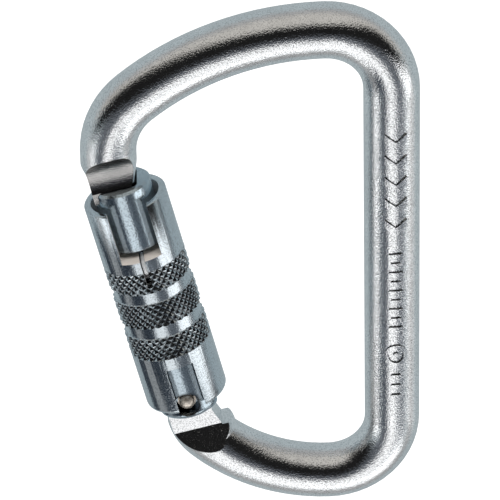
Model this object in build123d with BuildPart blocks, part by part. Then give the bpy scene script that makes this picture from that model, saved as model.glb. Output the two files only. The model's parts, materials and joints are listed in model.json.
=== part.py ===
"""Steel locking carabiner: bent rod frame, twist-locking gate sleeve and spring-return gate.

The carabiner lies in the XZ plane, with the front towards -Y and +Z up. The origin is the
inside of the top bend, where the anchor sits. The gate pieces are drawn upright about the
hinge pivot, with the gate axis on Z and +X towards the spine, then leaned into place.
"""
from build123d import *
import os
from math import atan2, cos, degrees, radians, sin, sqrt, tan

# ---- frame, millimetres ----
ROD_R = 6.0                  # round bar radius
SPINE_X = 14.0               # spine centreline from the load axis; also the corner bend radius
SEAT_SPAN = 96.2             # inside of the top bend to inside of the bottom bend
TOP_BEND_R = 63.5            # long shallow bend over the top
NOSE_BEND_R = 16.0           # tight bend down to the nose
NOSE_X = -46.1               # centreline of the upright bar at the nose
NOSE_START = -33.0           # the bar is drawn from here and trimmed to the nose tongue
BOTTOM_BEND_R = 38.7         # bend under the bottom
HEEL_BEND_R = 9.5            # tight bend up to the hinge
MARK_HEIGHT = 0.4            # raised marks along the front of the spine
MARK_X = 14.5
MARKS_TOP = -15.0
MARKS_BOTTOM = -82.0
CHEVRON_HALF = 2.4           # half width
CHEVRON_TIP = -19.7          # tip of the highest chevron
CHEVRON_PITCH = 5.1
CHEVRON_RISE = 1.8           # rise of each arm, and the thickness of the arms
BAR_TOP = -45.3
BAR_PITCH = 2.25
BAR_LENGTHS = (3.3, 2.3)     # taken in turn
BAR_THICKNESS = 1.1
RING_HEIGHT = -69.9
RING_R = 2.6
RING_BORE_R = 1.7
RING_DOT_R = 0.7
STUD_TOP = -75.4
STUD_PITCH = 2.5

# ---- gate position ----
PIVOT_X = -31.1
PIVOT_Z = -80.2
GATE_LEAN = 13.75            # degrees, top of the gate away from the spine

# ---- nose and hinge tongues, heights along the gate axis from the pivot ----
NOSE_TIP = 51.3
NOSE_HALF = 3.7              # half thickness of the nose tongue at its tip
NECK_HEIGHT = 56.6           # middle of the hollow neck above the tip
NECK_R = 6.0
NECK_Y = 9.0                 # centre of the neck hollow, from the mid plane
NOSE_INNER = 3.2             # inner side of the nose tongue
NOSE_OUTER = -6.1            # outer side of the nose tongue
NOSE_OUTER_TOP = 58.9
NOSE_OUTER_RUN_OUT = (-8.5, 62.7)
NOSE_INNER_RUN_OUT = (6.15, 60.6)
HINGE_HALF = 3.0             # half thickness of the hinge tongue
HINGE_FLAT_END = -8.6
HINGE_RAMP = 30.0            # slope of the run-out below the flats, degrees
HINGE_RAMP_OUT = 7.5
TONGUE_TRIM = 12.0           # half size of the block that the hinge tongue is trimmed from
SWELL_R = 6.2                # forged swell on the inner side just below the hinge tongue
SWELL_AT = (2.1, -10.6)
RELIEF_END = -8.9            # the inner side is cut back above this, to clear the sleeve
CAM_R = 4.8                  # round end of the hinge tongue that moves the plunger
CAM_OFFSET = 1.6
CAM_ANGLE = -19.0            # direction of the cam centre from the pivot, degrees

# ---- gate ----
BARREL_R = 7.0
BARREL_BOTTOM = -3.8
SHOULDER = 14.2              # top of the barrel, where the sleeve spring stands
STEM_R = 3.9
SPIGOT_R = 3.0
SPIGOT_TOP = 46.2
HEAD_R = 6.4
HEAD_BOTTOM = 39.25
HEAD_TOP = 53.6
HEAD_SLOT_HALF = 3.9
HEAD_SLOT_FLOOR = 50.5
HEAD_SLOT_INNER = 3.7
FORK_HALF = 3.1
FORK_FLOOR = 6.0
PLUNGER_R = 2.5
PLUNGER_BORE_R = 2.56
PLUNGER_BORE_TOP = 24.0
PLUNGER_TIP = 4.31
PLUNGER_SHOULDER = 7.8
PLUNGER_TOP = 10.5
PLUNGER_NOSE_R = 1.35
RIVET_R = 2.0
RIVET_END_R = 1.65
RIVET_HALF = 6.3             # half length over the domed ends
RIVET_DOME = 0.8
RIVET_RECESS_R = 2.75
RIVET_RECESS_FROM = 4.5
RIVET_TONGUE_R = 2.06        # running hole in the hinge tongue
PIN_R = 1.0
PIN_HEIGHT = 43.2
PIN_HALF = 6.1

# ---- locking sleeve ----
SLEEVE_R = 9.0
KNURL_R = 9.1
SLEEVE_BORE_R = 7.43
SLEEVE_BOTTOM = -0.7
SLEEVE_TOP = 50.2
FLANGE_TOP = 38.1
FLANGE_BOTTOM = 36.1
FLANGE_BORE_R = 4.15
LUG_R = 3.15                 # the lug on the flange bore stops the twist
LUG_HALF_ANGLE = 20.0
GROOVE_FLOOR_R = 3.0         # groove in the stem that the lug turns in
GROOVE_SPARE = 1.5           # degrees of spare turn at each end of the groove
TWIST = 90.0
SLEEVE_TURN = 3.0            # the sleeve rests turned this far towards the spine
SLOT_TURN = 5.0              # the lower slots are this much further round than the window
SLEEVE_ROUND = 1.0           # rounding of the lower outer edge
WINDOW_HALF = 4.4
SLOT_HALF = 3.0
SLOT_TOP = 10.7
SLIT_HALF = 0.55
SLIT_BOTTOM = 31.5
BANDS = ((30.1, 35.3), (21.6, 27.4), (13.5, 18.65))   # knurled bands, bottom and top
BAND_GROOVE_R = 8.55

# ---- springs ----
SLEEVE_WIRE_R = 0.42
SLEEVE_COIL_R = 5.6
SLEEVE_COILS = 9
HOOK_RADIUS = 8.35           # the spring hook stands in the slit at this radius
RETURN_WIRE_R = 0.32
RETURN_COIL_R = 1.9
RETURN_COILS = 8

TANG_ANGLE = 6.0             # the lower tang stands just past the start of the coil
TANG_AT = (SLEEVE_COIL_R * cos(radians(TANG_ANGLE)), SLEEVE_COIL_R * sin(radians(TANG_ANGLE)))
TANG_HOLE_ANGLE = radians(TANG_ANGLE + SLEEVE_TURN)
TANG_HOLE_AT = (SLEEVE_COIL_R * cos(TANG_HOLE_ANGLE), SLEEVE_COIL_R * sin(TANG_HOLE_ANGLE))

LEAN_COS = cos(radians(GATE_LEAN))
LEAN_SIN = sin(radians(GATE_LEAN))
GATE = Plane(origin=(PIVOT_X, 0, PIVOT_Z), x_dir=(LEAN_COS, 0, LEAN_SIN),
             z_dir=(-LEAN_SIN, 0, LEAN_COS))
GATE_SIDE = Plane(origin=(PIVOT_X, 0, PIVOT_Z), x_dir=(LEAN_COS, 0, LEAN_SIN), z_dir=(0, -1, 0))
GATE_FACE = Plane(origin=(PIVOT_X, 0, PIVOT_Z), x_dir=(0, 1, 0), z_dir=(LEAN_COS, 0, LEAN_SIN))


def from_gate(inward, up):
    """XZ point of a place given inward from, and up, the gate axis."""
    return (PIVOT_X + inward * LEAN_COS - up * LEAN_SIN,
            PIVOT_Z + inward * LEAN_SIN + up * LEAN_COS)


def to_gate(x, z):
    """Distances inward from, and up, the gate axis of an XZ point."""
    dx = x - PIVOT_X
    dz = z - PIVOT_Z
    return (dx * LEAN_COS + dz * LEAN_SIN, -dx * LEAN_SIN + dz * LEAN_COS)


def place(part, label, turn=0):
    """Turn an upright gate piece about its axis, lean it into place and name it."""
    placed = GATE.location * Rotation(0, 0, turn) * part
    placed.label = label
    return placed


# ---- frame: one bent bar from nose tongue to hinge tongue ----
top_centre = ROD_R - TOP_BEND_R
bottom_centre = -SEAT_SPAN - ROD_R + BOTTOM_BEND_R
# the nose bend joins the top bend to the upright bar above the nose
nose_centre_x = NOSE_X + NOSE_BEND_R
nose_rise = sqrt((TOP_BEND_R - NOSE_BEND_R) ** 2 - nose_centre_x ** 2)
shoulder_heading = degrees(atan2(nose_rise, nose_centre_x)) - 90
# the heel bend joins the bottom bend to the gate axis
gate_heading = 90 + GATE_LEAN
heel_inward, heel_up = to_gate(0, bottom_centre)
heel_drop = sqrt((BOTTOM_BEND_R - HEEL_BEND_R) ** 2 - (heel_inward - HEEL_BEND_R) ** 2)
heel_x, heel_z = from_gate(HEEL_BEND_R, heel_up - heel_drop)
heel_heading = degrees(atan2(heel_z - bottom_centre, heel_x)) % 360 - 90


def heading(angle):
    """Unit direction in the XZ plane."""
    return (cos(radians(angle)), sin(radians(angle)))


# plain raised marks for the spine: chevrons, bars, a ring and studs, with no lettering
with BuildPart() as raised_marks:
    with BuildSketch(Plane.XZ.offset(ROD_R / 2)):
        for step in range(5):
            tip = CHEVRON_TIP - CHEVRON_PITCH * step
            inside = tip + CHEVRON_RISE
            top = inside + CHEVRON_RISE
            with BuildLine():
                Polyline((MARK_X - CHEVRON_HALF, inside), (MARK_X, tip),
                         (MARK_X + CHEVRON_HALF, inside), (MARK_X + CHEVRON_HALF, top),
                         (MARK_X, inside), (MARK_X - CHEVRON_HALF, top), close=True)
            make_face()
        for step in range(9):
            with Locations((MARK_X, BAR_TOP - BAR_PITCH * step)):
                RectangleRounded(BAR_LENGTHS[step % 2], BAR_THICKNESS, 0.3)
        with Locations((MARK_X, RING_HEIGHT)):
            Circle(RING_R)
            Circle(RING_BORE_R, mode=Mode.SUBTRACT)
            Circle(RING_DOT_R)
        for step in range(3):
            with Locations((MARK_X, STUD_TOP - STUD_PITCH * step)):
                RectangleRounded(2.4, 1.4, 0.4)
    extrude(amount=ROD_R)
    with Locations((SPINE_X, 0, (MARKS_TOP + MARKS_BOTTOM) / 2)):
        Cylinder(ROD_R + MARK_HEIGHT, MARKS_TOP - MARKS_BOTTOM, mode=Mode.INTERSECT)

with BuildPart() as frame_body:
    with BuildLine(Plane.XZ) as centreline:
        nose_line = Line((NOSE_X, NOSE_START), (NOSE_X, top_centre + nose_rise))
        nose_arc = JernArc(nose_line @ 1, heading(90), NOSE_BEND_R, shoulder_heading - 90)
        top_arc = JernArc(nose_arc @ 1, heading(shoulder_heading), TOP_BEND_R, -shoulder_heading)
        corner = JernArc(top_arc @ 1, heading(0), SPINE_X, -90)
        spine = Line(corner @ 1, (SPINE_X, -SEAT_SPAN - ROD_R + SPINE_X))
        low_corner = JernArc(spine @ 1, heading(-90), SPINE_X, -90)
        low_arc = JernArc(low_corner @ 1, heading(180), BOTTOM_BEND_R, heel_heading - 180)
        heel_arc = JernArc(low_arc @ 1, heading(heel_heading), HEEL_BEND_R,
                           gate_heading - heel_heading)
        hinge_line = Line(heel_arc @ 1, from_gate(0, CAM_R + CAM_OFFSET))
    with BuildSketch(Plane(origin=(NOSE_X, 0, NOSE_START), z_dir=(0, 0, 1))):
        Circle(ROD_R)
    sweep()
    swell_x, swell_z = from_gate(*SWELL_AT)
    with Locations((swell_x, 0, swell_z)):
        Sphere(SWELL_R)
    add(raised_marks.part)
    # faces of the nose tongue: flat at the tip, then a hollow neck running out to the round bar
    with BuildSketch(GATE_FACE):
        for side in (1, -1):
            with Locations((side * NECK_Y, NECK_HEIGHT)):
                Circle(NECK_R)
            with Locations((side * (NOSE_HALF + ROD_R), NECK_HEIGHT - ROD_R)):
                Rectangle(2 * ROD_R, 2 * ROD_R - 2)
    extrude(amount=2 * ROD_R, both=True, mode=Mode.SUBTRACT)
    # sides and tip of the nose tongue
    trim = 2 * ROD_R
    with BuildSketch(GATE_SIDE):
        with BuildLine():
            Polyline((-trim, NOSE_TIP - ROD_R), (-trim, NOSE_OUTER_RUN_OUT[1]),
                     NOSE_OUTER_RUN_OUT, (NOSE_OUTER, NOSE_OUTER_TOP), (NOSE_OUTER, NOSE_TIP),
                     (NOSE_INNER, NOSE_TIP), (NOSE_INNER, HEAD_TOP + 0.6), NOSE_INNER_RUN_OUT,
                     (trim, NOSE_INNER_RUN_OUT[1]), (trim, NOSE_TIP - ROD_R), close=True)
        make_face()
    extrude(amount=2 * ROD_R, both=True, mode=Mode.SUBTRACT)
    # flats on both faces of the hinge tongue
    ramp_drop = (HINGE_RAMP_OUT - HINGE_HALF) / tan(radians(HINGE_RAMP))
    with BuildSketch(GATE_FACE):
        with BuildLine():
            Polyline((HINGE_HALF, HINGE_FLAT_END), (HINGE_HALF, TONGUE_TRIM),
                     (HINGE_RAMP_OUT, TONGUE_TRIM),
                     (HINGE_RAMP_OUT, HINGE_FLAT_END - ramp_drop), close=True)
        make_face()
        mirror(about=Plane.YZ)
    extrude(amount=2 * ROD_R, both=True, mode=Mode.SUBTRACT)
    # outline of the hinge tongue: cam end, and the inner side cut back for the sleeve
    with BuildSketch(GATE_SIDE):
        with Locations((0, (TONGUE_TRIM + RELIEF_END) / 2)):
            Rectangle(2 * TONGUE_TRIM, TONGUE_TRIM - RELIEF_END)
        cam_centre = (CAM_OFFSET * cos(radians(CAM_ANGLE)), CAM_OFFSET * sin(radians(CAM_ANGLE)))
        with Locations(cam_centre):
            Circle(CAM_R, mode=Mode.SUBTRACT)
        with BuildLine():
            Polyline((-6.6, RELIEF_END), (-5.6, -4.8), (-3.1, -1.2), (4.6, -3.2), (4.4, -5.0),
                     (5.7, RELIEF_END), close=True)
        make_face(mode=Mode.SUBTRACT)
    extrude(amount=2 * ROD_R, both=True, mode=Mode.SUBTRACT)
    # pivot hole
    with BuildSketch(GATE_SIDE):
        Circle(RIVET_TONGUE_R)
    extrude(amount=2 * ROD_R, both=True, mode=Mode.SUBTRACT)
frame_body.part.label = "frame_body"


# ---- gate barrel: fork over the hinge tongue, with the stem that carries the sleeve ----
def sector(inner_r, outer_r, start, end):
    """Ring sector between two radii and two angles in degrees."""
    outer = CenterArc((0, 0), outer_r, start, end - start)
    inner = CenterArc((0, 0), inner_r, start, end - start)
    return make_face([outer, inner, Line(outer @ 0, inner @ 0), Line(outer @ 1, inner @ 1)])


groove_end = 90 + SLEEVE_TURN + LUG_HALF_ANGLE + GROOVE_SPARE
stop_groove = sector(GROOVE_FLOOR_R, STEM_R + 1,
                     groove_end - TWIST - 2 * (LUG_HALF_ANGLE + GROOVE_SPARE), groove_end)
stop_lug = sector(LUG_R, FLANGE_BORE_R + 0.5, 90 - LUG_HALF_ANGLE, 90 + LUG_HALF_ANGLE)

with BuildPart() as gate_barrel:
    with BuildSketch(Plane.XZ):
        with BuildLine():
            Polyline((PLUNGER_BORE_R, BARREL_BOTTOM), (BARREL_R - 1.6, BARREL_BOTTOM))
            RadiusArc((BARREL_R - 1.6, BARREL_BOTTOM), (BARREL_R, BARREL_BOTTOM + 1.6), -1.6)
            Polyline((BARREL_R, BARREL_BOTTOM + 1.6), (BARREL_R, SHOULDER - 0.5),
                     (BARREL_R - 0.5, SHOULDER), (STEM_R, SHOULDER), (STEM_R, HEAD_BOTTOM),
                     (SPIGOT_R, HEAD_BOTTOM), (SPIGOT_R, SPIGOT_TOP), (0, SPIGOT_TOP),
                     (0, PLUNGER_BORE_TOP), (PLUNGER_BORE_R, PLUNGER_BORE_TOP),
                     (PLUNGER_BORE_R, BARREL_BOTTOM))
        make_face()
    revolve(axis=Axis.Z)
    # fork slot for the hinge tongue
    with BuildSketch(Plane.YZ):
        with Locations((0, (FORK_FLOOR + BARREL_BOTTOM - 1) / 2)):
            Rectangle(2 * FORK_HALF, FORK_FLOOR - BARREL_BOTTOM + 1)
    extrude(amount=BARREL_R + 1, both=True, mode=Mode.SUBTRACT)
    # rivet hole and the recess around each rivet end
    with BuildSketch(Plane.XZ):
        Circle(RIVET_R)
    extrude(amount=BARREL_R + 1, both=True, mode=Mode.SUBTRACT)
    for side in (1, -1):
        with BuildSketch(Plane.XZ.offset(side * RIVET_RECESS_FROM)):
            Circle(RIVET_RECESS_R)
        extrude(amount=side * BARREL_R, mode=Mode.SUBTRACT)
    # groove in the stem that the sleeve's lug turns in
    with BuildSketch(Plane.XY.offset(FLANGE_BOTTOM - 0.4)):
        add(stop_groove)
    extrude(amount=HEAD_BOTTOM - FLANGE_BOTTOM + 0.4, mode=Mode.SUBTRACT)
    # hole for the lower tang of the sleeve spring
    with BuildSketch(Plane.XY.offset(SHOULDER)):
        with Locations(TANG_HOLE_AT):
            Circle(SLEEVE_WIRE_R + 0.05)
    extrude(amount=-2.2, mode=Mode.SUBTRACT)
    # cross hole for the head pin
    with BuildSketch(Plane.YZ):
        with Locations((0, PIN_HEIGHT)):
            Circle(PIN_R)
    extrude(amount=BARREL_R, both=True, mode=Mode.SUBTRACT)

# ---- gate head: slotted cap pinned on the stem, which takes the nose tongue ----
with BuildPart() as gate_head:
    with BuildSketch(Plane.XZ):
        with BuildLine():
            Polyline((SPIGOT_R, HEAD_BOTTOM), (HEAD_R - 0.3, HEAD_BOTTOM),
                     (HEAD_R, HEAD_BOTTOM + 0.3), (HEAD_R, HEAD_TOP - 0.5),
                     (HEAD_R - 0.5, HEAD_TOP), (0, HEAD_TOP), (0, SPIGOT_TOP),
                     (SPIGOT_R, SPIGOT_TOP), close=True)
        make_face()
    revolve(axis=Axis.Z)
    with BuildSketch(Plane.XY.offset(HEAD_SLOT_FLOOR)):
        with Locations((HEAD_SLOT_INNER - 8, 0)):
            RectangleRounded(16, 2 * HEAD_SLOT_HALF, 1.0)
    extrude(amount=HEAD_TOP, mode=Mode.SUBTRACT)
    with BuildSketch(Plane.YZ):
        with Locations((0, PIN_HEIGHT)):
            Circle(PIN_R)
    extrude(amount=BARREL_R, both=True, mode=Mode.SUBTRACT)

with BuildPart() as head_pin:
    with BuildSketch(Plane.YZ.offset(-PIN_HALF)):
        with Locations((0, PIN_HEIGHT)):
            Circle(PIN_R)
    extrude(amount=2 * PIN_HALF)
    chamfer(head_pin.edges().filter_by(GeomType.CIRCLE), length=0.2)

# ---- pivot rivet through the fork and the hinge tongue, with domed ends ----
with BuildPart() as pivot_rivet:
    with BuildSketch(Plane.XY):
        with BuildLine():
            edge = RIVET_HALF - RIVET_DOME
            Line((0, -RIVET_HALF), (0, RIVET_HALF))
            Polyline((RIVET_END_R, -edge), (RIVET_END_R, -RIVET_RECESS_FROM),
                     (RIVET_R, -RIVET_RECESS_FROM), (RIVET_R, RIVET_RECESS_FROM),
                     (RIVET_END_R, RIVET_RECESS_FROM), (RIVET_END_R, edge))
            dome_r = (RIVET_END_R ** 2 + RIVET_DOME ** 2) / (2 * RIVET_DOME)
            RadiusArc((0, RIVET_HALF), (RIVET_END_R, edge), dome_r)
            RadiusArc((0, -RIVET_HALF), (RIVET_END_R, -edge), -dome_r)
        make_face()
    revolve(axis=Axis.Y)

# ---- hinge plunger: pressed onto the cam end of the tongue to close the gate ----
with BuildPart() as hinge_plunger:
    with BuildSketch(Plane.XZ):
        with BuildLine():
            Polyline((0, PLUNGER_TIP), (PLUNGER_R - 0.3, PLUNGER_TIP),
                     (PLUNGER_R, PLUNGER_TIP + 0.3), (PLUNGER_R, PLUNGER_SHOULDER),
                     (PLUNGER_NOSE_R, PLUNGER_SHOULDER), (PLUNGER_NOSE_R, PLUNGER_TOP - 0.3),
                     (PLUNGER_NOSE_R - 0.3, PLUNGER_TOP), (0, PLUNGER_TOP), close=True)
        make_face()
    revolve(axis=Axis.Z)

# ---- gate return spring, between the plunger and the end of its bore ----
return_low = PLUNGER_SHOULDER + RETURN_WIRE_R + 0.02
return_high = PLUNGER_BORE_TOP - RETURN_WIRE_R - 0.02
with BuildPart() as gate_return_spring:
    with BuildLine():
        return_path = Helix((return_high - return_low) / RETURN_COILS, return_high - return_low,
                            RETURN_COIL_R, center=(0, 0, return_low))
    with BuildSketch(Plane(return_path @ 0, z_dir=return_path % 0)):
        Circle(RETURN_WIRE_R)
    sweep(is_frenet=True)

# ---- locking sleeve ----
with BuildPart() as locking_sleeve:
    with BuildSketch(Plane.XZ):
        with BuildLine():
            Polyline((SLEEVE_BORE_R + 0.25, SLEEVE_BOTTOM), (SLEEVE_R - SLEEVE_ROUND, SLEEVE_BOTTOM))
            RadiusArc((SLEEVE_R - SLEEVE_ROUND, SLEEVE_BOTTOM),
                      (SLEEVE_R, SLEEVE_BOTTOM + SLEEVE_ROUND), -SLEEVE_ROUND)
            Polyline((SLEEVE_R, SLEEVE_BOTTOM + SLEEVE_ROUND), (SLEEVE_R, BANDS[2][0]),
                     (KNURL_R, BANDS[2][0]), (KNURL_R, BANDS[2][1]),
                     (BAND_GROOVE_R, BANDS[2][1]), (BAND_GROOVE_R, BANDS[1][0]),
                     (KNURL_R, BANDS[1][0]), (KNURL_R, BANDS[1][1]),
                     (BAND_GROOVE_R, BANDS[1][1]), (BAND_GROOVE_R, BANDS[0][0]),
                     (KNURL_R, BANDS[0][0]), (KNURL_R, BANDS[0][1]), (SLEEVE_R, BANDS[0][1]),
                     (SLEEVE_R, SLEEVE_TOP - 0.3), (SLEEVE_R - 0.3, SLEEVE_TOP),
                     (SLEEVE_BORE_R + 0.2, SLEEVE_TOP), (SLEEVE_BORE_R, SLEEVE_TOP - 0.2),
                     (SLEEVE_BORE_R, FLANGE_TOP), (FLANGE_BORE_R, FLANGE_TOP),
                     (FLANGE_BORE_R, FLANGE_BOTTOM), (SLEEVE_BORE_R, FLANGE_BOTTOM),
                     (SLEEVE_BORE_R, SLEEVE_BOTTOM + 0.25),
                     (SLEEVE_BORE_R + 0.25, SLEEVE_BOTTOM))
        make_face()
    revolve(axis=Axis.Z)
    # lug inside the flange, which stops the twist at both ends
    with BuildSketch(Plane.XY.offset(FLANGE_BOTTOM)):
        add(stop_lug)
    extrude(amount=FLANGE_TOP - FLANGE_BOTTOM)
    # window at the front, open at the rim, that the nose tongue leaves by
    with BuildSketch(Plane.XZ.offset(5)):
        with Locations((0, (FLANGE_TOP + SLEEVE_TOP + 1) / 2)):
            Rectangle(2 * WINDOW_HALF, SLEEVE_TOP + 1 - FLANGE_TOP)
    extrude(amount=SLEEVE_R, mode=Mode.SUBTRACT)
    # lower slots at the front and back, open at the bottom
    slot_angle = radians(SLOT_TURN)
    with BuildSketch(Plane(origin=(0, 0, 0), x_dir=(cos(slot_angle), sin(slot_angle), 0),
                           z_dir=(sin(slot_angle), -cos(slot_angle), 0))):
        with Locations((0, (SLOT_TOP + SLEEVE_BOTTOM - 1) / 2)):
            Rectangle(2 * SLOT_HALF, SLOT_TOP - SLEEVE_BOTTOM + 1)
    extrude(amount=SLEEVE_R + 1, both=True, mode=Mode.SUBTRACT)
    # slit for the hook of the sleeve spring
    with BuildSketch(Plane.XZ.offset(3)):
        with Locations((0, (SLIT_BOTTOM + FLANGE_TOP) / 2)):
            Rectangle(2 * SLIT_HALF, FLANGE_TOP - SLIT_BOTTOM)
    extrude(amount=SLEEVE_R, mode=Mode.SUBTRACT)

# ---- sleeve spring: coil around the stem, lower tang in the barrel, hook in the slit ----
coil_low = SHOULDER + SLEEVE_WIRE_R + 0.02
coil_high = FLANGE_BOTTOM - 3 * SLEEVE_WIRE_R
coil_turns = SLEEVE_COILS + 0.75      # starts at +X over the tang hole and ends at the front
hook_top = FLANGE_TOP - SLEEVE_WIRE_R
hook_x = SLIT_HALF - SLEEVE_WIRE_R - 0.02
with BuildPart() as sleeve_spring:
    with BuildLine():
        coil_path = Helix((coil_high - coil_low) / coil_turns, coil_high - coil_low,
                          SLEEVE_COIL_R, center=(0, 0, coil_low))
    with BuildSketch(Plane(coil_path @ 0, z_dir=coil_path % 0)):
        Circle(SLEEVE_WIRE_R)
    sweep(is_frenet=True)
    with BuildSketch(Plane.XY.offset(SHOULDER - 1.8)):
        with Locations(TANG_AT):
            Circle(SLEEVE_WIRE_R - 0.02)
    extrude(amount=coil_low - SHOULDER + 1.9)
    with BuildLine():
        hook_path = FilletPolyline((hook_x - 0.2, -SLEEVE_COIL_R + 0.2, coil_high),
                                   (hook_x, -HOOK_RADIUS, coil_high),
                                   (hook_x, -HOOK_RADIUS, hook_top),
                                   (hook_x, -4.8, hook_top), radius=0.6)
    with BuildSketch(Plane(hook_path @ 0, z_dir=hook_path % 0)):
        Circle(SLEEVE_WIRE_R)
    sweep(path=hook_path)

os.makedirs("parts", exist_ok=True)
export_step(frame_body.part, "parts/frame_body.step")
upright = (("gate_barrel", gate_barrel, 0), ("gate_head", gate_head, 0),
           ("head_pin", head_pin, 0), ("pivot_rivet", pivot_rivet, 0),
           ("hinge_plunger", hinge_plunger, 0), ("gate_return_spring", gate_return_spring, 0),
           ("locking_sleeve", locking_sleeve, SLEEVE_TURN),
           ("sleeve_spring", sleeve_spring, SLEEVE_TURN))
for label, piece, turn in upright:
    export_step(place(piece.part, label, turn), "parts/" + label + ".step")
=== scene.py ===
import json
import math

import bpy
from mathutils import Matrix, Vector


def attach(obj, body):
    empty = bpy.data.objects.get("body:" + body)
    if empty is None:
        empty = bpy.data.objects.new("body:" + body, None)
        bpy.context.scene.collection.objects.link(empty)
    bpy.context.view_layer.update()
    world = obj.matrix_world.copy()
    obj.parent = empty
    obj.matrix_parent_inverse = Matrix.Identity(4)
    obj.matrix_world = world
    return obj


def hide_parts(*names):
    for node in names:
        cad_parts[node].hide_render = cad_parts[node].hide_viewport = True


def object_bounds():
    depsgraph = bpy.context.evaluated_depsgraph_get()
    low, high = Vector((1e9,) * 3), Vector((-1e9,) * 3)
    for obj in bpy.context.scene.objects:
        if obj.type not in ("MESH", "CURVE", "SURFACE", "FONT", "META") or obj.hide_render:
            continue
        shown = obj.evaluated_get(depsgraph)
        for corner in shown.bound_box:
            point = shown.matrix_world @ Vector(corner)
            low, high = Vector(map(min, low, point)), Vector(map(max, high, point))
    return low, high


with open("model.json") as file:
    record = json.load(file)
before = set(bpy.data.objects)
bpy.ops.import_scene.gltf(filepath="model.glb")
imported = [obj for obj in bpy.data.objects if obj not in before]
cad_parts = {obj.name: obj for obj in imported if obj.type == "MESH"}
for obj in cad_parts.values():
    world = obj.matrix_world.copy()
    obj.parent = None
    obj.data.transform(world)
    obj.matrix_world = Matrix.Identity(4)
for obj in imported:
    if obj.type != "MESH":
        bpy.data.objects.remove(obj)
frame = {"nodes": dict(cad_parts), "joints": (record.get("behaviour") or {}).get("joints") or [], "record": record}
cad_low, cad_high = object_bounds()
nodes = frame["nodes"]
joints = {j["name"]: j for j in frame["joints"]}
MM = 0.001

# ---------------------------------------------------------------- camera
CAM_AZIMUTH = -1.5
CAM_ELEVATION = 29.0
CAM_ROLL = -1.2
CAM_DISTANCE = 0.850
CAM_LENS = 284.8
CAM_SENSOR = 36.0
CAM_CLIP = (0.05, 50.0)
CAM_AIM = Vector((-0.47, 0.0, 2.2)) * MM   # from the middle of the object


def aim_camera():
    data = bpy.data.cameras.new("camera")
    data.lens = CAM_LENS
    data.sensor_width = CAM_SENSOR
    data.clip_start, data.clip_end = CAM_CLIP
    camera = bpy.data.objects.new("camera", data)
    bpy.context.scene.collection.objects.link(camera)
    bpy.context.scene.camera = camera
    a = math.radians(CAM_AZIMUTH)
    e = math.radians(CAM_ELEVATION)
    back = Vector((math.sin(a) * math.cos(e), -math.cos(a) * math.cos(e), math.sin(e)))
    target = (cad_low + cad_high) / 2 + CAM_AIM
    turn = (-back).to_track_quat("-Z", "Y").to_matrix().to_4x4()
    roll = Matrix.Rotation(math.radians(CAM_ROLL), 4, "Z")
    camera.matrix_world = Matrix.Translation(target + back * CAM_DISTANCE) @ turn @ roll


aim_camera()

# ---------------------------------------------------------------- node graphs


class Graph:
    """Small helper that adds and links the nodes of one node tree."""

    def __init__(self, tree):
        self.tree = tree

    def node(self, kind, **settings):
        made = self.tree.nodes.new(kind)
        for key, value in settings.items():
            setattr(made, key, value)
        return made

    def put(self, socket, value):
        if isinstance(value, bpy.types.NodeSocket):
            self.tree.links.new(value, socket)
        else:
            socket.default_value = value

    def math(self, operation, *values):
        made = self.node("ShaderNodeMath", operation=operation)
        for socket, value in zip(made.inputs, values):
            self.put(socket, value)
        return made.outputs[0]

    def times(self, first, *others):
        """Product of all the values."""
        for value in others:
            first = self.math("MULTIPLY", first, value)
        return first

    def radius(self, a, b):
        """Length of the flat vector (a, b)."""
        return self.math("POWER", self.math("ADD", self.times(a, a), self.times(b, b)), 0.5)

    def degrees(self, a, b):
        """Angle of the flat vector (b, a), as atan2(a, b)."""
        return self.times(self.math("ARCTAN2", a, b), 180 / math.pi)

    def split(self, vector):
        made = self.node("ShaderNodeSeparateXYZ")
        self.put(made.inputs[0], vector)
        return made.outputs

    def smooth(self, value, low, high):
        """0 at low and 1 at high, eased between; high may be the lower one."""
        made = self.node("ShaderNodeMapRange", interpolation_type="SMOOTHSTEP")
        flip = high < low
        self.put(made.inputs["Value"], value)
        made.inputs["From Min"].default_value = min(low, high)
        made.inputs["From Max"].default_value = max(low, high)
        made.inputs["To Min"].default_value = 1.0 if flip else 0.0
        made.inputs["To Max"].default_value = 0.0 if flip else 1.0
        return made.outputs["Result"]

    def band(self, value, low, high, edge):
        """1 between low and high, eased to 0 at both over a width of edge."""
        return self.times(self.smooth(value, low, low + edge),
                          self.smooth(value, high, high - edge))

    def mix(self, factor, a, b):
        made = self.node("ShaderNodeMix", data_type="RGBA")
        self.put(made.inputs["Factor"], factor)
        self.put(made.inputs["A"], a)
        self.put(made.inputs["B"], b)
        return made.outputs["Result"]


# ---------------------------------------------------------------- studio light


def grey(value, warm=0.0):
    """Linear grey; warm above 0 tints to beige and below 0 to blue."""
    return (value * (1 + warm), value * (1 + 0.25 * warm), value * (1 - warm), 1.0)


# Soft studio as panels of light by direction: azimuth from the front (degrees, right is
# positive), elevation, edge softness, linear colour. A later panel covers an earlier one.
BASE = (0.40, 0.455, 0.475, 1.0)
PANELS = (
    # az low, az high, el low, el high, softness, colour
    (-180, 180, 45, 104, 9, grey(0.50, 0.055)),
    (-180, 180, 98, 120, 8, grey(0.36, 0.0)),
    (-78, 78, -8, 46, 8, grey(0.012)),
    (-50, 56, -38, -23, 8, grey(0.20, -0.10)),
    (-50, 50, -25, 0, 8, grey(0.13, -0.10)),
    (-95, -58, -32, -19, 5, grey(1.45)),
    (66, 100, -38, -22, 6, grey(1.00)),
    (47, 87, -23, -7, 8, grey(1.60)),
    (-48, 60, -62, -41, 9, grey(1.75)),
    (-122, -23, -52, -32, 4, grey(0.045, -0.25)),
    (-20, 13, -60, -18, 8, grey(1.10)),
    (-180, 180, -95, -68, 10, grey(0.36)),
)


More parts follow.
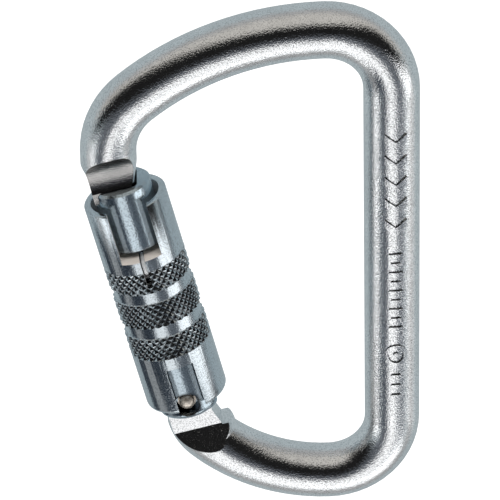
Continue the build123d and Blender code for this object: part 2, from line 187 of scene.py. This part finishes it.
def studio_world():
    world = bpy.data.worlds.new("studio")
    bpy.context.scene.world = world
    world.use_nodes = True
    world.node_tree.nodes.clear()
    g = Graph(world.node_tree)
    x, y, z = g.split(g.node("ShaderNodeTexCoord").outputs["Generated"])
    front = g.times(y, -1.0)
    elevation = g.degrees(z, g.radius(x, y))
    azimuth = g.degrees(x, front)
    # height over the front-to-back arc, so that the overhead light runs on behind
    arc = g.degrees(z, front)
    colour = BASE
    for az0, az1, el0, el1, soft, tint in PANELS:
        all_round = az0 <= -180
        part = g.band(arc if all_round else elevation, el0 - soft / 2, el1 + soft / 2, soft)
        if not all_round:
            part = g.times(part, g.band(azimuth, az0 - soft / 2, az1 + soft / 2, soft))
        colour = g.mix(part, colour, tint)
    shade = g.node("ShaderNodeBackground")
    g.put(shade.inputs["Color"], colour)
    out = g.node("ShaderNodeOutputWorld")
    g.put(out.inputs["Surface"], shade.outputs[0])


LAMP_PLACE = Vector((0.0, -0.3, 1.6))
LAMP_SIZE = 1.2
LAMP_POWER = 14.0


def overhead_lamp():
    """Square lamp that points at the origin and isn't seen in the steel."""
    data = bpy.data.lights.new("overhead", "AREA")
    data.shape = "SQUARE"
    data.size = LAMP_SIZE
    data.energy = LAMP_POWER
    lamp = bpy.data.objects.new("overhead", data)
    bpy.context.scene.collection.objects.link(lamp)
    lamp.location = LAMP_PLACE
    lamp.rotation_mode = "QUATERNION"
    lamp.rotation_quaternion = (-LAMP_PLACE).to_track_quat("-Z", "Y")
    lamp.visible_glossy = False


FLOOR_DROP = 0.10
FLOOR_HALF = 6.0
FLOOR_WHITE = (0.92, 0.92, 0.92, 1)
FLOOR_ROUGHNESS = 0.8
FLOOR_GLOW = 0.62


def pale_floor():
    z = cad_low.z - FLOOR_DROP
    corners = ((-1, -1), (1, -1), (1, 1), (-1, 1))
    mesh = bpy.data.meshes.new("floor")
    mesh.from_pydata([(FLOOR_HALF * x, FLOOR_HALF * y, z) for x, y in corners],
                     [], [(0, 1, 2, 3)])
    floor = bpy.data.objects.new("floor", mesh)
    bpy.context.scene.collection.objects.link(floor)
    material = bpy.data.materials.new("floor_white")
    material.use_nodes = True
    shader = material.node_tree.nodes["Principled BSDF"]
    shader.inputs["Base Color"].default_value = FLOOR_WHITE
    shader.inputs["Roughness"].default_value = FLOOR_ROUGHNESS
    shader.inputs["Emission Color"].default_value = (1, 1, 1, 1)
    shader.inputs["Emission Strength"].default_value = FLOOR_GLOW
    mesh.materials.append(material)
    floor.visible_glossy = False


studio_world()
bpy.context.scene.view_settings.view_transform = "Standard"
pale_floor()
overhead_lamp()

# ---------------------------------------------------------------- sizes, millimetres

# the gate leans: heights run up its axis from the pivot
PIVOT = Vector(joints["gate_swing"]["pos_m"])
GATE_UP = -Vector(joints["sleeve_twist"]["axis"]).normalized()
GATE_IN = Vector((0, 1, 0)).cross(GATE_UP)

# raised marks on the spine
SPINE_X = 14.0
ROD_R = 6.0
MARKS = (-82.0, -15.0)
MARKS_EDGE = 0.5
MARK_SIDE = (0.03, 0.39)     # heights on a mark's side that gets painted shade, above the bar
MARK_SIDE_EDGE = 0.07
MARK_NEAR_X = (8.0, 9.0)

# hollow neck of the nose tongue, and the tongue's tip below it, which get painted shade
NECK_HEIGHT = 56.6
NECK_Y = 9.0
NECK_R = 6.0
NECK_SKIN = (0.12, 0.05)
NOSE_X = (-33.0, -35.0)
TIP_TOP = (54.4, 54.0)
TIP_FOOT = (45.0, 46.0)

# painted shade round the pivot rivet
PIVOT_SHADE_R = (3.5, 2.6)

# sleeve
SLEEVE_TURN = math.radians(3.0)
SLEEVE_R = 9.0
SLEEVE_ENDS = (-0.7, 50.2)
BORE_R = 7.43
BORE_CHAMFER = 0.25
FOOT_ROUND = 1.0
FOOT_STEPS = 6
RIM = ((0.35, SLEEVE_R), (0.25, SLEEVE_R - 0.04), (0.08, SLEEVE_R - 0.18),
       (0.0, SLEEVE_R - 0.42), (0.0, BORE_R + 0.3), (0.10, BORE_R + 0.1),
       (0.30, BORE_R))       # drop below the top end, radius
FLANGE = (36.1, 38.1)
FLANGE_R = 4.15
AROUND = 384                 # points round the sleeve

# knurled bands with plain grooves between them
BANDS = ((13.5, 18.65), (21.6, 27.4), (30.1, 35.3))
BAND_STEP = 0.12
KNURL_R = 9.1
KNURL_DEPTH = 0.48
KNURL_POWER = 1.15
GROOVE_R = 8.55
# painted shade in the knurl's valleys, eased in between these radii and at the band edges
VALLEY_R = (8.84, 8.68)
VALLEY_EDGE = 0.2
DIAMONDS = 32                # round the sleeve
DIAMOND_RISE = 1.80          # height of one diamond
ROW_STEP = 0.15

# cuts in the sleeve
WINDOW_HALF = 4.4
WINDOW_NEAR = 4.9
SLOT_HALF = 3.0
SLOT_NEAR = 4.0
SLOT_TOP = 10.7
SLOT_TURN = math.radians(5.0)
SLIT_HALF = 0.55
SLIT_NEAR = 3.0
SLIT_BOTTOM = 31.5
SLIT_OVERLAP = 0.5
CUT_FAR = 12.0
CUT_PAST = 2.0

# ---------------------------------------------------------------- steel

BUMP_DEPTH = 0.055 * MM
TURNED_MM = 0.12
DARK_PLATING = 0.934         # uneven plating, as shares of the steel's colour
LIGHT_PLATING = 1.03
# near-black painted shade for the marks' sides, the knurl's valleys and the rivet's recess; then the colour and
# strength of the painted shade on the nose tongue's hollow and tip
PAINTED_SHADE_COLOUR = (0.020, 0.018, 0.016, 1.0)
NOSE_SHADE_COLOUR = (0.30, 0.29, 0.28, 1.0)
NOSE_SHADE_STRENGTH = 0.80


def mark_side_shade(g, where):
    """Painted shade on the sides of the raised marks on the spine."""
    x, y, z = g.split(where)
    reach = g.radius(g.math("SUBTRACT", x, SPINE_X * MM), y)
    low, high = MARK_SIDE
    side = g.band(reach, (ROD_R + low) * MM, (ROD_R + high) * MM, MARK_SIDE_EDGE * MM)
    span = g.band(z, MARKS[0] * MM, MARKS[1] * MM, MARKS_EDGE * MM)
    near = g.smooth(x, MARK_NEAR_X[0] * MM, MARK_NEAR_X[1] * MM)
    return g.times(side, span, near, 0.85)


def neck_face(g, where):
    """Painted shade on the hollow milled across the nose tongue, found by its distance from the cutter's axis, and
    on the tongue's tip.
    """
    world_x, world_y, world_z = g.split(where)
    x = g.math("SUBTRACT", world_x, PIVOT.x)
    z = g.math("SUBTRACT", world_z, PIVOT.z)
    height = g.math("ADD", g.times(x, GATE_UP.x), g.times(z, GATE_UP.z))
    across = g.math("SUBTRACT", g.math("ABSOLUTE", world_y), NECK_Y * MM)
    reach = g.radius(across, g.math("SUBTRACT", height, NECK_HEIGHT * MM))
    off = g.math("ABSOLUTE", g.math("SUBTRACT", reach, NECK_R * MM))
    hollow = g.smooth(off, NECK_SKIN[0] * MM, NECK_SKIN[1] * MM)
    tip = g.times(g.smooth(height, TIP_TOP[0] * MM, TIP_TOP[1] * MM),
                  g.smooth(height, TIP_FOOT[0] * MM, TIP_FOOT[1] * MM))
    at_nose = g.smooth(world_x, NOSE_X[0] * MM, NOSE_X[1] * MM)
    return g.times(g.math("MAXIMUM", hollow, tip), at_nose)


def knurl_valley_shade(g, where):
    """Painted shade in the valleys of the knurl, in the sleeve's own frame."""
    x, y, z = g.split(where)
    valley = g.smooth(g.radius(x, y), VALLEY_R[0] * MM, VALLEY_R[1] * MM)
    inside = 0.0
    for low, high in BANDS:
        inside = g.math("MAXIMUM", inside, g.band(z, low * MM, high * MM, VALLEY_EDGE * MM))
    return g.times(valley, inside, 0.90)


def pivot_recess_shade(g, where):
    """Painted shade in the recess round the pivot rivet."""
    x, _, z = g.split(where)
    reach = g.radius(g.math("SUBTRACT", x, PIVOT.x), g.math("SUBTRACT", z, PIVOT.z))
    return g.times(g.smooth(reach, PIVOT_SHADE_R[0] * MM, PIVOT_SHADE_R[1] * MM), 0.97)


def steel(name, colour, roughness, grain, grain_mm=0.42, metallic=1.0, turned=0.0,
          pits=(0.62, 0.76), pit_shade=0.62, shade_mask=None, milled=None):
    """Zinc-plated steel: fine grain, patchy roughness, uneven plating and turned lines, plus painted shade where a
    mask is given.
    """
    material = bpy.data.materials.new(name)
    material.use_nodes = True
    g = Graph(material.node_tree)
    shader = material.node_tree.nodes["Principled BSDF"]
    shader.inputs["Metallic"].default_value = metallic
    where = g.node("ShaderNodeTexCoord").outputs["Object"]

    def noise(size_mm, detail, rough, at):
        made = g.node("ShaderNodeTexNoise")
        g.put(made.inputs["Vector"], at)
        made.inputs["Scale"].default_value = 1.0 / (size_mm * MM)
        made.inputs["Detail"].default_value = detail
        made.inputs["Roughness"].default_value = rough
        return made.outputs["Fac"]

    fine = noise(grain_mm, 1.5, 0.6, where)
    patch = noise(3.0, 3.0, 0.55, where)
    cloud = noise(14.0, 2.0, 0.5, where)
    dark = tuple(c * DARK_PLATING for c in colour) + (1,)
    light = tuple(min(1.0, c * LIGHT_PLATING) for c in colour) + (1,)
    shade = g.math("ADD", g.times(patch, 0.55), g.times(cloud, 0.45))
    tint = g.mix(g.smooth(shade, 0.35, 0.62), dark, light)
    tint = g.mix(g.smooth(fine, *pits), tint, tuple(c * pit_shade for c in colour) + (1,))
    rough = g.math("ADD", g.times(patch, 0.06), roughness - 0.05)
    rough = g.math("ADD", rough, g.times(fine, 0.05))
    # painted shade: mixes the steel toward near-black under the mask, broken up by the patch noise
    if shade_mask:
        tint = g.mix(g.times(shade_mask(g, where), g.smooth(patch, 0.30, 0.50)), tint, PAINTED_SHADE_COLOUR)
    # painted shade on the nose tongue's hollow and tip, with a little more roughness there
    if milled:
        cover = milled(g, where)
        tint = g.mix(g.times(cover, NOSE_SHADE_STRENGTH), tint, NOSE_SHADE_COLOUR)
        rough = g.math("ADD", rough, g.times(cover, 0.05))
    g.put(shader.inputs["Base Color"], tint)
    g.put(shader.inputs["Roughness"], rough)
    height = g.times(fine, grain)
    if turned:
        along = g.node("ShaderNodeCombineXYZ")
        g.put(along.inputs[2], g.split(where)[2])
        lines = noise(TURNED_MM, 2.0, 0.6, along.outputs[0])
        height = g.math("ADD", height, g.times(lines, turned))
    bump = g.node("ShaderNodeBump")
    bump.inputs["Strength"].default_value = 1.0
    bump.inputs["Distance"].default_value = BUMP_DEPTH
    g.put(bump.inputs["Height"], height)
    g.put(shader.inputs["Normal"], bump.outputs["Normal"])
    return material


MATERIALS = {
    "frame_steel": steel("frame_zinc", (0.93, 0.94, 0.95), 0.11, 1.2, grain_mm=0.31,
                         pits=(0.46, 0.68), pit_shade=0.72, shade_mask=mark_side_shade, milled=neck_face),
    # the gate's and sleeve's darker, bluer colours than the frame's are painted shade; all three are the same zinc
    # plating
    "gate_steel": steel("gate_zinc", (0.52, 0.61, 0.67), 0.16, 0.6, grain_mm=0.34,
                        pits=(0.48, 0.68), pit_shade=0.70, shade_mask=pivot_recess_shade),
    "sleeve_steel": steel("sleeve_zinc", (0.65, 0.71, 0.75), 0.16, 0.55, grain_mm=0.34,
                          turned=0.03, pits=(0.48, 0.68), pit_shade=0.74, shade_mask=knurl_valley_shade),
    "pin_steel": steel("pin_bright", (0.95, 0.86, 0.76), 0.34, 0.8, metallic=0.7),
    "spring_steel": steel("spring_wire", (0.88, 0.89, 0.90), 0.42, 0.3, metallic=0.4),
}
MILLED = steel("milled_zinc", (0.88, 0.89, 0.90), 0.50, 0.8, metallic=0.25)
# painted reflection: the flange's top face is made a pale beige non-metal to stand in for the light it catches
SEAT_PAINTED_LIGHT = steel("seat_painted_light", (0.98, 0.90, 0.83), 0.60, 0.3, metallic=0.0, pit_shade=0.85)

for part in frame["record"]["subparts"]:
    data = nodes[part["node"]].data
    data.materials.clear()
    data.materials.append(MATERIALS[part["material_slot"]])

# ---------------------------------------------------------------- knurled sleeve


def knurl(h, angle):
    """Radius of the crossed grooves at a height and an angle."""
    turns = DIAMONDS * angle / (2 * math.pi)
    left = abs(2 * ((turns + h / DIAMOND_RISE) % 1.0) - 1)
    right = abs(2 * ((turns - h / DIAMOND_RISE) % 1.0) - 1)
    return KNURL_R - KNURL_DEPTH * max(left, right) ** KNURL_POWER


def sleeve_rings():
    """Closed profile as (height, radius), with None for the radius of a knurled row."""
    low, high = SLEEVE_ENDS
    rings = [(low + BORE_CHAMFER, BORE_R), (low, BORE_R + BORE_CHAMFER)]
    for step in range(FOOT_STEPS + 1):
        a = math.radians(90 * step / FOOT_STEPS)
        rings.append((low + FOOT_ROUND * (1 - math.cos(a)),
                      SLEEVE_R - FOOT_ROUND * (1 - math.sin(a))))
    for start, end in BANDS:
        before = SLEEVE_R if (start, end) == BANDS[0] else GROOVE_R
        after = SLEEVE_R if (start, end) == BANDS[-1] else GROOVE_R
        rows = round((end - start) / ROW_STEP)
        rings.append((start - BAND_STEP, before))
        rings += [(start + (end - start) * row / rows, None) for row in range(rows + 1)]
        rings.append((end + BAND_STEP, after))
    rings += [(high - drop, radius) for drop, radius in RIM]
    rings += [(FLANGE[1], BORE_R), (FLANGE[1], FLANGE_R),
              (FLANGE[0], FLANGE_R), (FLANGE[0], BORE_R)]
    return rings


def mesh_object(name, verts, faces):
    mesh = bpy.data.meshes.new(name)
    mesh.from_pydata(verts, [], faces)
    mesh.update()
    made = bpy.data.objects.new(name, mesh)
    bpy.context.scene.collection.objects.link(made)
    return made


def cutter(name, half, near, far, bottom, top, turn):
    """Box from near to far in front of the axis, turned round it."""
    spin = Matrix.Rotation(turn, 4, "Z")
    verts = [spin @ (Vector((x, y, z)) * MM)
             for x in (-half, half) for y in (-near, -far) for z in (bottom, top)]
    faces = [(2, 3, 1, 0), (5, 7, 6, 4), (1, 5, 4, 0),
             (6, 7, 3, 2), (4, 6, 2, 0), (3, 7, 5, 1)]
    return mesh_object(name, verts, faces)


def cut_sleeve(made):
    """Take the window, the two lower slots and the slit out of the turned sleeve."""
    bottom = SLEEVE_ENDS[0] - CUT_PAST
    top = SLEEVE_ENDS[1] + CUT_PAST
    cuts = (cutter("cut_window", WINDOW_HALF, WINDOW_NEAR, CUT_FAR, FLANGE[1], top, 0),
            cutter("cut_front_slot", SLOT_HALF, SLOT_NEAR, CUT_FAR, bottom, SLOT_TOP,
                   SLOT_TURN),
            cutter("cut_back_slot", SLOT_HALF, -CUT_FAR, -SLOT_NEAR, bottom, SLOT_TOP,
                   SLOT_TURN),
            cutter("cut_slit", SLIT_HALF, SLIT_NEAR, CUT_FAR, SLIT_BOTTOM,
                   FLANGE[1] + SLIT_OVERLAP, 0))
    for cut in cuts:
        tool = made.modifiers.new(cut.name, "BOOLEAN")
        tool.operation = "DIFFERENCE"
        tool.solver = "EXACT"
        tool.object = cut
    bpy.context.view_layer.update()
    depsgraph = bpy.context.evaluated_depsgraph_get()
    made.data = bpy.data.meshes.new_from_object(made.evaluated_get(depsgraph))
    made.data.name = "sleeve_knurled"
    made.modifiers.clear()
    for cut in cuts:
        bpy.data.objects.remove(cut)


PLATED, CUT_FACE, SEAT = range(3)        # the sleeve's material indices
SKIN_R = 8.98                # faces with their middle outside this are the plated skin
CUT_OUTWARD = 0.6            # cut and bore faces look less outward than this
UPRIGHT = 0.3                # and up or down less than this
SEAT_UP = 0.9
SEAT_TOLERANCE = 0.02
SHARP_ANGLE = math.radians(24)


def paint_sleeve(mesh):
    """Plated outside, milled cuts and bore, and a pale painted reflection on the top face of the flange."""
    mesh.materials.clear()
    for material in (MATERIALS["sleeve_steel"], MILLED, SEAT_PAINTED_LIGHT):
        mesh.materials.append(material)
    for face in mesh.polygons:
        middle, normal = face.center, face.normal
        reach = math.hypot(middle.x, middle.y)
        outward = (normal.x * middle.x + normal.y * middle.y) / reach
        face.material_index = PLATED
        if abs(middle.z / MM - FLANGE[1]) < SEAT_TOLERANCE and normal.z > SEAT_UP:
            face.material_index = SEAT
        elif reach / MM < SKIN_R and outward < CUT_OUTWARD and abs(normal.z) < UPRIGHT:
            face.material_index = CUT_FACE
    mesh.shade_smooth()
    mesh.set_sharp_from_angle(angle=SHARP_ANGLE)


def knurled_sleeve():
    rings = sleeve_rings()
    verts = []
    for h, radius in rings:
        for k in range(AROUND):
            angle = 2 * math.pi * k / AROUND
            r = knurl(h, angle) if radius is None else radius
            verts.append((r * math.sin(angle) * MM, -r * math.cos(angle) * MM, h * MM))
    faces = []
    for i in range(len(rings)):
        j = (i + 1) % len(rings)
        for k in range(AROUND):
            m = (k + 1) % AROUND
            faces.append((i * AROUND + k, i * AROUND + m, j * AROUND + m, j * AROUND + k))
    made = mesh_object("sleeve_knurled", verts, faces)
    cut_sleeve(made)
    paint_sleeve(made.data)
    lean = Matrix((GATE_IN, Vector((0, 1, 0)), GATE_UP)).transposed().to_4x4()
    turn = Matrix.Rotation(SLEEVE_TURN, 4, "Z")
    made.matrix_world = Matrix.Translation(PIVOT) @ lean @ turn
    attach(made, "sleeve")
    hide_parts("locking_sleeve")


knurled_sleeve()
